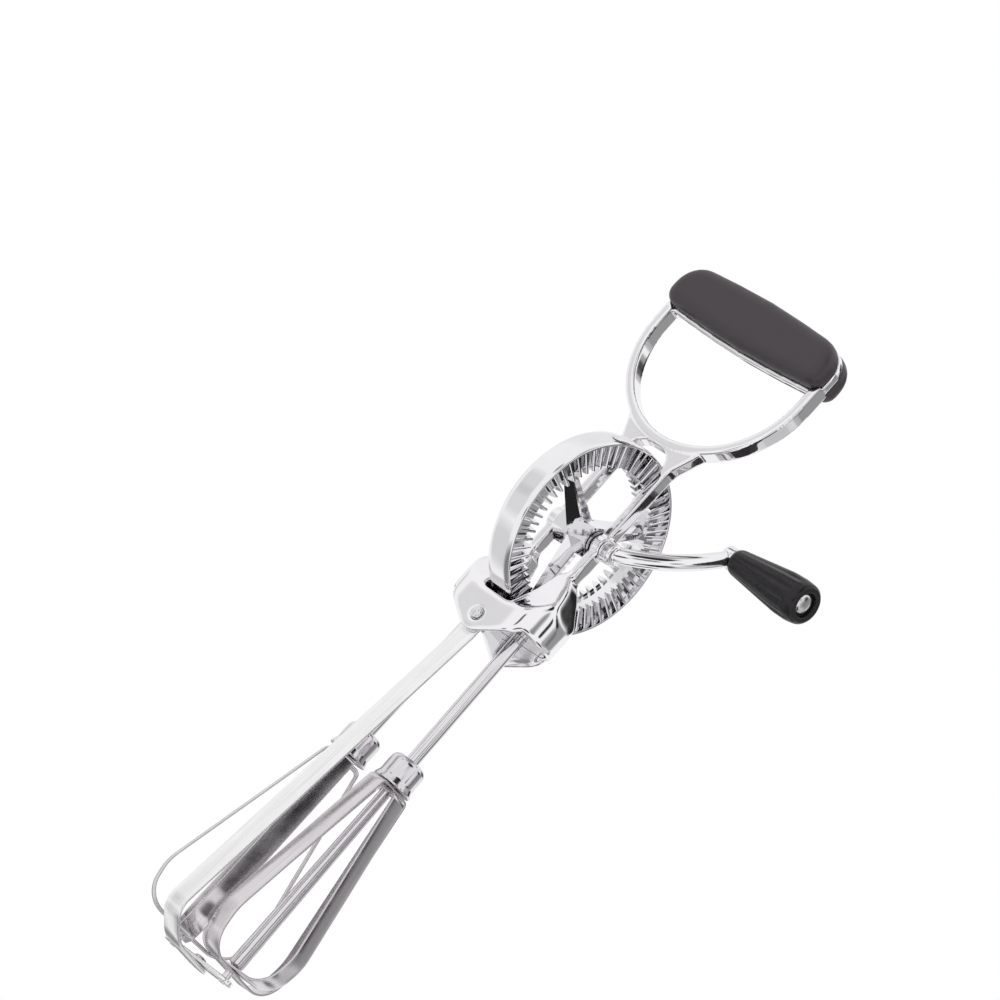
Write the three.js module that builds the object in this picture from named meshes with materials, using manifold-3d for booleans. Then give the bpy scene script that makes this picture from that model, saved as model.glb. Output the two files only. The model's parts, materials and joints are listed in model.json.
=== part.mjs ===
// Hand-cranked rotary egg beater: a chromed frame with a D handle, a toothed drive wheel turned by a crank,
// and two beaters on splayed shafts that the wheel turns in opposite directions.
// Millimetres, +Z up to the grip, +Y towards the crank, origin on the underside of the foot.
import * as THREE from "three";
import { mergeVertices } from "three/addons/utils/BufferGeometryUtils.js";
import Module from "manifold-3d";

const wasm = await Module();
wasm.setup();

// Driving dimensions. Heights below are measured from the axle unless they say otherwise.
const AXLE_HEIGHT = 206; // from the underside of the foot to the axle
const GAP = 0.3; // between neighbouring pieces
const FINE = 32; // sides of a large round piece
const COARSE = 16; // sides of a small round piece

const WHEEL = { radius: 38, width: 11.5, wall: 1.4, teeth: 60 };
const WHEEL_TOOTH = { tip: 5.4, root: 3.0, tipWidth: 0.9, rootWidth: 2.0, inner: 28 };
const WEB_INNER_RADIUS = 29.2;
const SPOKE = { base: 5.8, end: 2.6, flatness: 0.5, angle: 22 };
const SLOT_HALF_WIDTH = 7.4;
const HUB = { radius: 6.8, halfLength: 8.6 };
const AXLE_RADIUS = 2.5;
const WHEEL_PIN_Y = 7;

const PINION = { teeth: 12, width: 5, tip: 7.6, root: 5.3, hubRadius: 4.5, hubBottom: -7.4 };
const PINION_PIN_HEIGHT = PINION.hubBottom + 2.2;
const PINION_CENTRE = { y: 11.1, z: -33 };
const SPLAY = THREE.MathUtils.degToRad(1.15); // each shaft leans out by this much

const BAR = { inner: 9.9, outer: 13.7, depth: 5.4 };
const BOSS = { radius: 4.4, end: 14.3 };
const WINDOW = { top: 42, bottom: -19, corner: 7 };
const HANDLE = { depth: 6.6, width: 3.6, innerHalf: 37.6, innerBottom: 46.2, shoulder: 82 };
const GRIP = { centre: 97.9, length: 83, height: 22, thickness: 18, bevel: 4 };
const GRIP_CORNER = { top: 11, bottom: 5 };
const GRIP_BULGE = { drop: 2.4, radius: 300 }; // how far the long edges swell at the middle
const GRIP_PIN = { offset: 24, radius: 1.5 };
const TANG = { thickness: 3.4, drop: 1.1 }; // it shows below the grip by the drop
const RIVET = { hole: 1.8, radius: 1.5, head: 2.5 };

const HOUSING = { halfLength: 24.2, halfDepth: 13.3, corner: 12.6, wall: 2, bottom: -43.7, tongue: -54.8 };
const RIVET_HEIGHT = -47.5;
const POCKET = { pinion: 9.2, pinionTop: -29.6, top: -35.8 };
const SPIGOT_HOLE = { radius: 2.4, top: -23.6 };
const GUIDE = { height: -42.5, thickness: 1.4, clearance: 0.4, tabWidth: 9, tabDepth: 9.5, tabX: 9 };
const GUSSET = { start: 36, half: 20.5, top: 49, rounding: 8 };

const STRIP = { width: 7.5, thickness: 1 };
const LOOP = { top: -114, bottom: -200.5, shoulder: 9, belly: 23.6, bellyHeight: -184, cornerRadius: 12 };
const COLLAR = { top: -102.4, bottom: -113.7, radius: 7.1, skirt: 7.9 };
const SHAFT_RADIUS = 2.5;
const ROD = { top: 2.1, bottom: 3, pivot: 1.6 };

const CRANK = { angle: 137, radius: 44.4, reach: 32.4, eye: 4.3 };
const CRANK_HUB = { radius: 4.3, start: 14.7, end: 20.5 };
const KNOB = { start: 35.6, end: 73.4, root: 4.7, belly: 8.3, recess: 4.7, recessDepth: 2.2 };
const SPINDLE_RADIUS = 1.9;
const PIN = { radius: 1, hole: 1.3, crankY: 17.6 }; // the pins through the axle

const STRUT = { width: 8.5, thickness: 1.2, topX: 10.45, elbowX: 30, elbowZ: -197, end: -5 };
const FOOT_BAR = { halfLength: 18.5, width: 7.6, thickness: 1.5 };
const STRUT_FOOT_Z = -AXLE_HEIGHT + STRUT.thickness / 2;
const FOOT_BAR_BOTTOM = -AXLE_HEIGHT + STRUT.thickness + GAP;

// Materials.
const chrome = () => new THREE.MeshStandardMaterial({ color: 0xd9dbde, roughness: 0.08, metalness: 1 });
const steel = () => new THREE.MeshStandardMaterial({ color: 0xc4c5c8, roughness: 0.28, metalness: 1 });
const blackPlastic = () => new THREE.MeshStandardMaterial({ color: 0x3a3639, roughness: 0.45, metalness: 0 });

// A geometry as a solid that can be joined or cut.
function solid(geometry) {
  const bare = geometry.clone();
  bare.deleteAttribute("normal");
  bare.deleteAttribute("uv");
  const merged = mergeVertices(bare, 1e-4);
  const corners = merged.index.array;
  const kept = [];
  for (let i = 0; i < corners.length; i += 3) {
    const [a, b, c] = corners.slice(i, i + 3);
    if (a !== b && b !== c && c !== a) kept.push(a, b, c);
  }
  return new wasm.Manifold(
    new wasm.Mesh({
      numProp: 3,
      vertProperties: new Float32Array(merged.attributes.position.array),
      triVerts: new Uint32Array(kept),
    }),
  );
}

function join(...pieces) {
  return pieces.reduce((whole, piece) => whole.add(piece));
}

function cut(body, ...tools) {
  return tools.reduce((whole, tool) => whole.subtract(tool), body);
}

// A named mesh of one solid.
function part(name, body, material) {
  const { vertProperties, triVerts } = body.getMesh();
  const geometry = new THREE.BufferGeometry();
  geometry.setAttribute("position", new THREE.BufferAttribute(vertProperties, 3));
  geometry.setIndex(new THREE.BufferAttribute(triVerts, 1));
  geometry.computeVertexNormals();
  const mesh = new THREE.Mesh(geometry, material);
  mesh.name = name;
  return mesh;
}

// Where a drawing's own x, y and depth point in the part.
const PLANES = {
  xy: new THREE.Matrix4(),
  yz: new THREE.Matrix4().makeBasis(
    new THREE.Vector3(0, 1, 0),
    new THREE.Vector3(0, 0, 1),
    new THREE.Vector3(1, 0, 0),
  ),
  xz: new THREE.Matrix4().makeBasis(
    new THREE.Vector3(1, 0, 0),
    new THREE.Vector3(0, 0, 1),
    new THREE.Vector3(0, -1, 0),
  ),
};

// A flat outline given thickness, centred on its plane.
function plate(shape, thickness, plane, options = {}) {
  const bevel = options.bevel ?? 0;
  const geometry = new THREE.ExtrudeGeometry(shape, {
    depth: thickness - 2 * bevel,
    bevelEnabled: bevel > 0,
    bevelThickness: bevel,
    bevelSize: bevel,
    bevelOffset: -bevel,
    bevelSegments: options.bevelSegments ?? 4,
    curveSegments: options.curveSegments ?? 8,
  });
  geometry.translate(0, 0, bevel - thickness / 2);
  geometry.applyMatrix4(PLANES[plane]);
  return geometry;
}

// A shape drawn through corner points, each corner rounded by its own radius.
function outline(corners, inset = 0) {
  const count = corners.length;
  const lines = corners.map(([x, y], i) => {
    const [nextX, nextY] = corners[(i + 1) % count];
    const along = new THREE.Vector2(nextX - x, nextY - y).normalize();
    const inward = new THREE.Vector2(-along.y, along.x);
    return { start: new THREE.Vector2(x, y).addScaledVector(inward, inset), along };
  });
  const points = [];
  corners.forEach(([, , radius = 0], i) => {
    const before = lines[(i + count - 1) % count];
    const after = lines[i];
    const turn = before.along.cross(after.along);
    const between = after.start.clone().sub(before.start);
    const corner = before.start.clone().addScaledVector(before.along, between.cross(after.along) / turn);
    const rounding = Math.max(radius - inset, 0);
    const angle = Math.asin(THREE.MathUtils.clamp(turn, -1, 1));
    const bend = before.along.dot(after.along) < 0 ? Math.sign(angle) * Math.PI - angle : angle;
    const reach = rounding * Math.tan(Math.abs(bend) / 2);
    const steps = rounding > 0 ? Math.max(2, Math.ceil(Math.abs(bend) / 0.26)) : 0;
    if (steps === 0) points.push(corner);
    const start = corner.clone().addScaledVector(before.along, -reach);
    const centre = start
      .clone()
      .add(new THREE.Vector2(-before.along.y, before.along.x).multiplyScalar(Math.sign(bend) * rounding));
    for (let step = 0; steps > 0 && step <= steps; step += 1) {
      points.push(start.clone().rotateAround(centre, (bend * step) / steps));
    }
  });
  return points;
}

function roundedShape(corners, inset = 0) {
  return new THREE.Shape(outline(corners, inset));
}

// A closed band between two insets of one outline.
function ringShape(corners, inset, thickness) {
  const shape = roundedShape(corners, inset);
  shape.holes.push(new THREE.Path(outline(corners, inset + thickness)));
  return shape;
}

// A rectangle or racetrack centred on a point.
function roundedBox(halfX, halfY, radius, centreX = 0, centreY = 0) {
  return [
    [centreX - halfX, centreY - halfY, radius],
    [centreX + halfX, centreY - halfY, radius],
    [centreX + halfX, centreY + halfY, radius],
    [centreX - halfX, centreY + halfY, radius],
  ];
}

// Round bars along each axis, from one end to the other.
function rodX(radius, from, to, y, z, sides = COARSE) {
  return new THREE.CylinderGeometry(radius, radius, to - from, sides)
    .rotateZ(Math.PI / 2)
    .translate((from + to) / 2, y, z);
}

function rodY(radius, from, to, x = 0, z = 0, sides = COARSE) {
  return new THREE.CylinderGeometry(radius, radius, to - from, sides).translate(x, (from + to) / 2, z);
}

function rodZ(radius, from, to, x = 0, y = 0, sides = COARSE) {
  return new THREE.CylinderGeometry(radius, radius, to - from, sides)
    .rotateX(Math.PI / 2)
    .translate(x, y, (from + to) / 2);
}

// A turned piece about the Y axis; its profile runs anticlockwise as [radius, y].
function turned(profile, sides = FINE) {
  const points = profile.map(([radius, y]) => new THREE.Vector2(radius, y));
  return new THREE.LatheGeometry([...points, points[0].clone()], sides);
}

// The same about the Z axis, as [radius, z].
function turnedUpright(profile, sides = FINE) {
  return turned(profile, sides).rotateX(Math.PI / 2);
}

// ---- Frame ----

// The D of the handle: a half ellipse hung from two short straight arms.
function handleShape(grow) {
  const half = HANDLE.innerHalf + grow;
  const drop = HANDLE.shoulder - HANDLE.innerBottom + grow;
  const shape = new THREE.Shape();
  shape.moveTo(-half, GRIP.centre);
  shape.lineTo(-half, HANDLE.shoulder);
  shape.absellipse(0, HANDLE.shoulder, half, drop, Math.PI, 2 * Math.PI);
  shape.lineTo(half, GRIP.centre);
  return shape;
}

// The two bars and the bridge above the wheel, before the window is cut, with gussets under the D.
function yokeOutline() {
  const right = [
    [BAR.outer, WINDOW.bottom - 3, 0],
    [BAR.outer, GUSSET.start, GUSSET.rounding],
    [GUSSET.half, GUSSET.top, 0],
  ];
  const left = right.map(([y, z, radius]) => [-y, z, radius]).reverse();
  return [...right, ...left];
}

// The grip swells a little at its middle, above and below.
function gripOutline() {
  const half = GRIP.length / 2;
  const bottom = GRIP.centre - GRIP.height / 2;
  const top = GRIP.centre + GRIP.height / 2;
  return [
    [-half, bottom + GRIP_BULGE.drop, GRIP_CORNER.bottom],
    [0, bottom, GRIP_BULGE.radius],
    [half, bottom + GRIP_BULGE.drop, GRIP_CORNER.bottom],
    [half, top - GRIP_BULGE.drop, GRIP_CORNER.top],
    [0, top, GRIP_BULGE.radius],
    [-half, top - GRIP_BULGE.drop, GRIP_CORNER.top],
  ];
}

// The closed lower body seen from the near side: sloping shoulders, square foot and a rounded tongue.
function housingFront() {
  const { halfLength, bottom, tongue } = HOUSING;
  const right = [
    [halfLength, bottom, 0],
    [halfLength, -33, 8],
    [BAR.outer, -14.5, 12],
  ];
  const mirrored = right.map(([y, z, radius]) => [-y, z, radius]).reverse();
  const tongueEdge = [
    [-18.6, bottom, 0],
    [-16.8, bottom - 2.8, 3],
    [0, tongue - 1, 8],
    [16.8, bottom - 2.8, 3],
    [18.6, bottom, 0],
  ];
  return [...tongueEdge, ...right, ...mirrored];
}

// The lower body seen along Y: narrow at the bars, swelling to the flat near and far faces.
function housingSide() {
  const { halfDepth, tongue } = HOUSING;
  const half = BAR.depth / 2;
  return [
    [-halfDepth, tongue - 2, 0],
    [halfDepth, tongue - 2, 0],
    [halfDepth, -37, 5],
    [half + 4.4, -26, 14],
    [half, -14, 8],
    [half, -10, 0],
    [-half, -10, 0],
    [-half, -14, 8],
    [-half - 4.4, -26, 14],
    [-halfDepth, -37, 5],
  ];
}

// The hollow under the housing: a wide skirt, and above it the space where the pinions turn.
function housingPockets() {
  const { halfLength, halfDepth, corner, wall, tongue } = HOUSING;
  const floor = tongue - 5;
  const pocket = (halfX, halfY, radius, top) => {
    const shape = roundedShape(roundedBox(halfX, halfY, radius));
    return solid(plate(shape, top - floor, "xy").translate(0, 0, (top + floor) / 2));
  };
  const room = POCKET.pinion;
  return join(
    pocket(halfDepth - wall, halfLength - wall, corner - wall, POCKET.top),
    pocket(room, PINION_CENTRE.y + room, room - 0.2, POCKET.pinionTop),
  );
}

// The upright opening in which the wheel stands, as a shape in the plane of the frame.
function windowShape() {
  const middle = (WINDOW.top + WINDOW.bottom) / 2;
  return roundedShape(roundedBox(BAR.inner, (WINDOW.top - WINDOW.bottom) / 2, WINDOW.corner, 0, middle));
}

function housingBody() {
  const { halfDepth, halfLength, corner } = HOUSING;
  const front = plate(roundedShape(housingFront()), 2 * halfDepth, "yz");
  const side = plate(roundedShape(housingSide()), 2 * halfLength + 2, "xz");
  const plan = plate(roundedShape(roundedBox(halfDepth, halfLength, corner)), 120, "xy");
  return solid(front).intersect(solid(side)).intersect(solid(plan));
}

// The strut's rivet passes through the near wall, the strut and the guide plate's tab.
function rivetHole() {
  return solid(rodX(RIVET.hole, 5, 20, 0, RIVET_HEIGHT));
}

function frameCasting() {
  const smooth = { curveSegments: 20 };
  const handle = solid(plate(handleShape(HANDLE.width), HANDLE.depth, "yz", smooth));
  const handleCore = solid(plate(handleShape(HANDLE.width), TANG.thickness, "yz", smooth));
  const opening = solid(plate(handleShape(0), 40, "yz", smooth));
  const gripSpace = solid(plate(roundedShape(gripOutline(), -GAP), 40, "yz"));
  const tangPlate = plate(roundedShape(gripOutline()), TANG.thickness, "yz");
  const tang = join(solid(tangPlate), solid(tangPlate.clone().translate(0, 0, -TANG.drop)));
  const yoke = solid(plate(roundedShape(yokeOutline()), BAR.depth, "yz"));
  const bosses = [-1, 1].map((side) => {
    const ends = [side * (BAR.inner - 1), side * BOSS.end].sort((a, b) => a - b);
    return solid(rodY(BOSS.radius, ...ends, 0, 0, 20));
  });
  const window = solid(plate(windowShape(), 40, "yz"));
  const wheelSlot = solid(rodY(WHEEL.radius + 1.2, -SLOT_HALF_WIDTH, SLOT_HALF_WIDTH, 0, 0, 64));
  const spigotHoles = [-1, 1].map((side) =>
    solid(rodZ(SPIGOT_HOLE.radius, POCKET.pinionTop - 1, SPIGOT_HOLE.top, 0, side * (PINION_CENTRE.y - 0.1))),
  );
  const pinHoles = [-1, 1].map((side) =>
    solid(rodX(GRIP_PIN.radius + GAP, -5, 5, side * GRIP_PIN.offset, GRIP.centre)),
  );
  const arms = join(cut(join(handle, yoke), opening, gripSpace), cut(handleCore, opening));
  const skeleton = join(arms, tang, housingBody(), ...bosses);
  return cut(
    skeleton,
    window,
    wheelSlot,
    housingPockets(),
    solid(rodY(AXLE_RADIUS + GAP, -20, 20)),
    rivetHole(),
    ...spigotHoles,
    ...pinHoles,
  );
}

// One half of the grip: a flat-faced pillow with soft edges that lies against the tang.
function gripShell(side) {
  const pillow = solid(
    plate(roundedShape(gripOutline()), GRIP.thickness, "yz", { bevel: GRIP.bevel, bevelSegments: 5 }),
  );
  const inner = TANG.thickness / 2 + GAP;
  const depth = GRIP.thickness;
  const half = solid(
    new THREE.BoxGeometry(depth, 200, 60).translate(side * (inner + depth / 2), 0, GRIP.centre),
  );
  const bores = [-1, 1].map((end) =>
    solid(rodX(GRIP_PIN.radius + GAP, -6.5, 6.5, end * GRIP_PIN.offset, GRIP.centre)),
  );
  return cut(pillow.intersect(half), ...bores);
}

function gripPin(end) {
  return solid(rodX(GRIP_PIN.radius, -6, 6, end * GRIP_PIN.offset, GRIP.centre));
}

// The plate that steadies both shafts inside the housing, with a tab that the strut's rivet holds.
function guidePlate() {
  const inset = HOUSING.wall + GUIDE.clearance;
  const across = roundedBox(HOUSING.halfDepth - inset, HOUSING.halfLength - inset, HOUSING.corner - inset);
  const deck = plate(roundedShape(across), GUIDE.thickness, "xy").translate(0, 0, GUIDE.height);
  const tab = new THREE.BoxGeometry(STRUT.thickness, GUIDE.tabWidth, GUIDE.tabDepth);
  tab.translate(GUIDE.tabX, 0, GUIDE.height + 0.65 - GUIDE.tabDepth / 2);
  const shaftHoles = [-1, 1].map((side) => {
    const y = side * beaterOffsetAt(GUIDE.height);
    return solid(rodZ(SHAFT_RADIUS + GAP, GUIDE.height - 3, GUIDE.height + 3, 0, y));
  });
  return cut(join(solid(deck), solid(tab)), rivetHole(), ...shaftHoles);
}

// Offsets the bends of an open path to one side, keeping each bend's own centre.
function offsetPath(path, offset) {
  const directions = path.slice(1).map(([x, z], i) => {
    const [fromX, fromZ] = path[i];
    return new THREE.Vector2(x - fromX, z - fromZ).normalize();
  });
  const normals = directions.map((along) => new THREE.Vector2(-along.y, along.x));
  return path.map(([x, z, radius], i) => {
    const before = normals[Math.max(i - 1, 0)];
    const after = normals[Math.min(i, normals.length - 1)];
    const shift = before.clone().add(after).multiplyScalar(offset / (1 + before.dot(after)));
    const turnsRight = radius > 0 && directions[i - 1].cross(directions[i]) < 0;
    const bend = radius > 0 ? radius + (turnsRight ? offset : -offset) : 0;
    return [x + shift.x, z + shift.y, bend];
  });
}

// The flat strip that reaches from the housing down one side and turns in under the beaters.
function sideStrut() {
  const { topX, elbowX, elbowZ, thickness, width, end } = STRUT;
  const path = [
    [topX, RIVET_HEIGHT + 2.9, 0],
    [topX, RIVET_HEIGHT - 8, 12],
    [elbowX, elbowZ, 8],
    [elbowX - 12, STRUT_FOOT_Z, 14],
    [end, STRUT_FOOT_Z, 0],
  ];
  const half = thickness / 2;
  const edge = [...offsetPath(path, half), ...offsetPath(path, -half).reverse()];
  const strip = solid(plate(roundedShape(edge), width, "xz"));
  const roundedEnd = roundedShape([
    [end, -width / 2, width / 2 - 0.05],
    [elbowX + 10, -width / 2, 0],
    [elbowX + 10, width / 2, 0],
    [end, width / 2, width / 2 - 0.05],
  ]);
  const footHole = solid(rodZ(RIVET.hole, -AXLE_HEIGHT - 2, -AXLE_HEIGHT + 2));
  return cut(strip.intersect(solid(plate(roundedEnd, 600, "xy"))), rivetHole(), footHole);
}

function domedHead(radius, height) {
  const profile = [
    [0, 0],
    [radius, 0],
    [radius * 0.92, height * 0.45],
    [radius * 0.6, height * 0.85],
    [0, height],
  ];
  return turned(profile, 24);
}

function strutRivet() {
  const outer = HOUSING.halfDepth + 0.25;
  const tail = GUIDE.tabX - 0.9;
  const head = domedHead(RIVET.head, 1.1).rotateZ(-Math.PI / 2).translate(outer, 0, RIVET_HEIGHT);
  return join(
    solid(rodX(RIVET.radius, tail - 0.6, outer + 0.2, 0, RIVET_HEIGHT)),
    solid(head),
    solid(rodX(RIVET.head, tail - 1, tail, 0, RIVET_HEIGHT)),
  );
}

function footCrossbar() {
  const { halfLength, width, thickness } = FOOT_BAR;
  const shape = roundedShape(roundedBox(width / 2, halfLength, width / 2 - 0.05));
  const bar = plate(shape, thickness, "xy").translate(0, 0, FOOT_BAR_BOTTOM + thickness / 2);
  const through = (radius, y) => solid(rodZ(radius, FOOT_BAR_BOTTOM - 5, FOOT_BAR_BOTTOM + 5, 0, y));
  const pivotHoles = [-1, 1].map((side) => through(ROD.pivot + GAP, side * beaterOffsetAt(FOOT_BAR_BOTTOM)));
  return cut(solid(bar), through(RIVET.hole, 0), ...pivotHoles);
}

function footRivet() {
  const top = FOOT_BAR_BOTTOM + FOOT_BAR.thickness + GAP;
  const head = domedHead(RIVET.head, 1).rotateX(Math.PI / 2).translate(0, 0, top);
  return join(solid(rodZ(RIVET.radius, -AXLE_HEIGHT, top + 0.2)), solid(head));
}

// ---- Drive ----

// The rim's section, crowned on the outside.
function wheelRim() {
  const { radius, width, wall } = WHEEL;
  const half = width / 2;
  const inner = radius - wall;
  return turned(
    [
      [inner, -half],
      [radius - 0.8, -half],
      [radius, -half + 1.6],
      [radius, half - 1.6],
      [radius - 0.8, half],
      [inner, half],
    ],
    WHEEL.teeth,
  ).rotateY(Math.PI / WHEEL.teeth);
}

// One tooth, a bar of trapezoid section that lies along a radius on one face of the web.
function wheelTooth(angle, face) {
  const { tip, root, tipWidth, rootWidth, inner } = WHEEL_TOOTH;
  const outer = WHEEL.radius - WHEEL.wall + 0.2;
  const sunk = root - 0.6;
  const section = new THREE.Shape([
    new THREE.Vector2(-rootWidth / 2, sunk),
    new THREE.Vector2(rootWidth / 2, sunk),
    new THREE.Vector2(tipWidth / 2, tip),
    new THREE.Vector2(-tipWidth / 2, tip),
  ]);
  const bar = new THREE.ExtrudeGeometry(section, { depth: outer - inner, bevelEnabled: false });
  bar.translate(0, 0, inner);
  if (face < 0) bar.rotateZ(Math.PI);
  return bar.rotateY(angle);
}

// A tapered spoke of flat diamond section, so each face has a ridge along its middle.
function wheelSpoke(angle) {
  const { base, end, flatness } = SPOKE;
  const start = 2.8;
  const length = WEB_INNER_RADIUS + 1.5 - start;
  const spoke = new THREE.CylinderGeometry(end, base, length, 4)
    .scale(1, 1, flatness)
    .translate(0, start + length / 2, 0)
    .rotateX(Math.PI / 2)
    .rotateY(angle);
  return solid(spoke);
}

function driveWheel() {
  const web = turned(
    [
      [WEB_INNER_RADIUS, -WHEEL_TOOTH.root],
      [WHEEL.radius - WHEEL.wall + 0.3, -WHEEL_TOOTH.root],
      [WHEEL.radius - WHEEL.wall + 0.3, WHEEL_TOOTH.root],
      [WEB_INNER_RADIUS, WHEEL_TOOTH.root],
    ],
    WHEEL.teeth,
  ).rotateY(Math.PI / WHEEL.teeth);
  const teeth = [];
  for (let i = 0; i < WHEEL.teeth; i += 1) {
    const angle = (i * 2 * Math.PI) / WHEEL.teeth;
    teeth.push(solid(wheelTooth(angle, 1)), solid(wheelTooth(angle, -1)));
  }
  const spokes = [0, 1, 2].map((i) => wheelSpoke(THREE.MathUtils.degToRad(90 - SPOKE.angle - 120 * i)));
  const hub = solid(rodY(HUB.radius, -HUB.halfLength, HUB.halfLength, 0, 0, 6));
  return cut(
    join(solid(wheelRim()), solid(web), ...teeth, ...spokes, hub),
    solid(rodY(AXLE_RADIUS + GAP, -20, 20)),
    solid(rodX(PIN.hole, -10, 10, WHEEL_PIN_Y, 0, 12)),
  );
}

function wheelAxle() {
  const shaft = solid(rodY(AXLE_RADIUS, -15, CRANK_HUB.end - 2));
  return cut(shaft, solid(rodX(PIN.hole, -5, 5, WHEEL_PIN_Y, 0, 12)), crankPinBar(PIN.hole));
}

function wheelPin() {
  return solid(rodX(PIN.radius, -6, 6, WHEEL_PIN_Y, 0, 12));
}

function axleWasher(side) {
  const start = side * (HUB.halfLength + 0.3);
  const end = side * (HUB.halfLength + 1);
  const ends = [start, end].sort((a, b) => a - b);
  return cut(solid(rodY(5, ...ends, 0, 0, 20)), solid(rodY(AXLE_RADIUS + GAP, -20, 20)));
}

// Turns a piece drawn with the arm along +X to the crank's own angle.
function atCrankAngle(geometry) {
  return solid(geometry.rotateY(-THREE.MathUtils.degToRad(CRANK.angle)));
}

// A bar through the crank's hub and the axle, square to the arm.
function crankPinBar(radius) {
  return atCrankAngle(rodZ(radius, -6, 6, 0, PIN.crankY, 12));
}

function crankEnd() {
  const angle = THREE.MathUtils.degToRad(CRANK.angle);
  return new THREE.Vector3(CRANK.radius * Math.cos(angle), 0, CRANK.radius * Math.sin(angle));
}

// The arm leaves the axle outwards, bends round and runs out flat to the knob. It is drawn along +X and
// then turned to its angle.
function crankArm() {
  const { radius, reach, eye } = CRANK;
  const path = new THREE.CatmullRomCurve3(
    [
      [0, CRANK_HUB.end - 3.2],
      [5.5, 22.8],
      [15, 28.6],
      [27, reach - 0.9],
      [radius - 7, reach],
      [radius, reach],
    ].map(([distance, y]) => new THREE.Vector3(distance, y, 0)),
  );
  const section = new THREE.Shape();
  section.absellipse(0, 0, 3.2, 3, 0, 2 * Math.PI);
  const arm = new THREE.ExtrudeGeometry(section, {
    steps: 15,
    curveSegments: 7,
    extrudePath: path,
    bevelEnabled: false,
  });
  const eyeBar = rodY(eye, reach - 3, KNOB.start - GAP, radius, 0, 20);
  const hub = rodY(CRANK_HUB.radius, CRANK_HUB.start, CRANK_HUB.end, 0, 0, 20);
  return cut(
    join(atCrankAngle(arm), atCrankAngle(hub), atCrankAngle(eyeBar)),
    atCrankAngle(rodY(AXLE_RADIUS + GAP, CRANK_HUB.start - 5, CRANK_HUB.end - 1.6)),
    atCrankAngle(rodY(SPINDLE_RADIUS + 0.2, reach - 1.5, KNOB.start + 2, radius, 0)),
    crankPinBar(PIN.hole),
  );
}

function crankPin() {
  return crankPinBar(PIN.radius).intersect(solid(rodY(CRANK_HUB.radius - 0.1, 0, 40, 0, 0, 20)));
}

function knobSpindle() {
  const end = crankEnd();
  const seat = KNOB.end - KNOB.recessDepth + GAP;
  const head = domedHead(KNOB.recess - 0.5, 1.4).translate(end.x, seat, end.z);
  return join(solid(rodY(SPINDLE_RADIUS, CRANK.reach - 1.2, seat + 0.2, end.x, end.z)), solid(head));
}

function crankKnob() {
  const { start, end, root, belly, recess, recessDepth } = KNOB;
  const bore = SPINDLE_RADIUS + 0.25;
  const length = end - start;
  const profile = [
    [bore, start],
    [root, start],
    [root + 0.5, start + 1],
    [belly, start + length * 0.7],
    [belly, start + length * 0.9],
    [belly - 0.5, end - 1.2],
    [belly - 1.5, end],
    [recess, end],
    [recess, end - recessDepth],
    [bore, end - recessDepth],
  ];
  const centre = crankEnd();
  return solid(turned(profile, 24).translate(centre.x, 0, centre.z));
}

// ---- Beaters, drawn about their own shaft with the pinion's middle at the origin ----

function beaterOffsetAt(height) {
  return PINION_CENTRE.y + Math.tan(SPLAY) * (PINION_CENTRE.z - height);
}

const local = (height) => height - PINION_CENTRE.z;

// A spur pinion whose teeth have straight flanks; a gap faces the wheel.
function pinion(side) {
  const points = [];
  const pitch = (2 * Math.PI) / PINION.teeth;
  const rootHalf = 0.29 * pitch;
  const tipHalf = 0.1 * pitch;
  const facing = (-side * Math.PI) / 2;
  for (let i = 0; i < PINION.teeth; i += 1) {
    const middle = facing + (i + 0.5) * pitch;
    const corners = [
      [PINION.root, -rootHalf],
      [PINION.tip, -tipHalf],
      [PINION.tip, tipHalf],
      [PINION.root, rootHalf],
    ];
    for (const [radius, turn] of corners) {
      points.push(new THREE.Vector2(radius * Math.cos(middle + turn), radius * Math.sin(middle + turn)));
    }
  }
  const top = PINION.width / 2 + 0.2;
  const toothed = plate(new THREE.Shape(points), PINION.width, "xy").translate(0, 0, 0.2);
  const hub = rodZ(PINION.hubRadius, PINION.hubBottom, 0, 0, 0, 20);
  return cut(
    join(solid(toothed), solid(hub)),
    solid(rodZ(SHAFT_RADIUS + 0.2, -20, top + 1)),
    solid(rodX(PIN.radius, -8, 8, 0, PINION_PIN_HEIGHT, 12)),
  );
}

function pinionPin() {
  return solid(rodX(0.8, -4.3, 4.3, 0, PINION_PIN_HEIGHT, 12));
}

// One turned rod: spigot, shaft, thinner rod between the loops, and the pivot that stands in the foot.
function beaterShaft() {
  const rod = turnedUpright(
    [
      [0, local(-AXLE_HEIGHT) + 1],
      [ROD.pivot, local(-AXLE_HEIGHT) + 1],
      [ROD.pivot, local(LOOP.bottom) + 2.6],
      [ROD.bottom, local(LOOP.bottom) + 3.4],
      [ROD.top, local(LOOP.top) + 1],
      [ROD.top, local(COLLAR.bottom) + 2],
      [SHAFT_RADIUS, local(COLLAR.bottom) + 2],
      [SHAFT_RADIUS, PINION.width / 2 + 0.4],
      [2, PINION.width / 2 + 0.4],
      [2, 8.6],
      [0, 8.6],
    ],
    COARSE,
  );
  return cut(solid(rod), solid(rodX(PIN.radius, -5, 5, 0, PINION_PIN_HEIGHT, 12)));
}

function thrustWasher() {
  const top = PINION.hubBottom - GAP;
  return cut(solid(rodZ(5, top - 0.7, top, 0, 0, 20)), solid(rodZ(SHAFT_RADIUS + GAP, -20, 0)));
}

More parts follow.
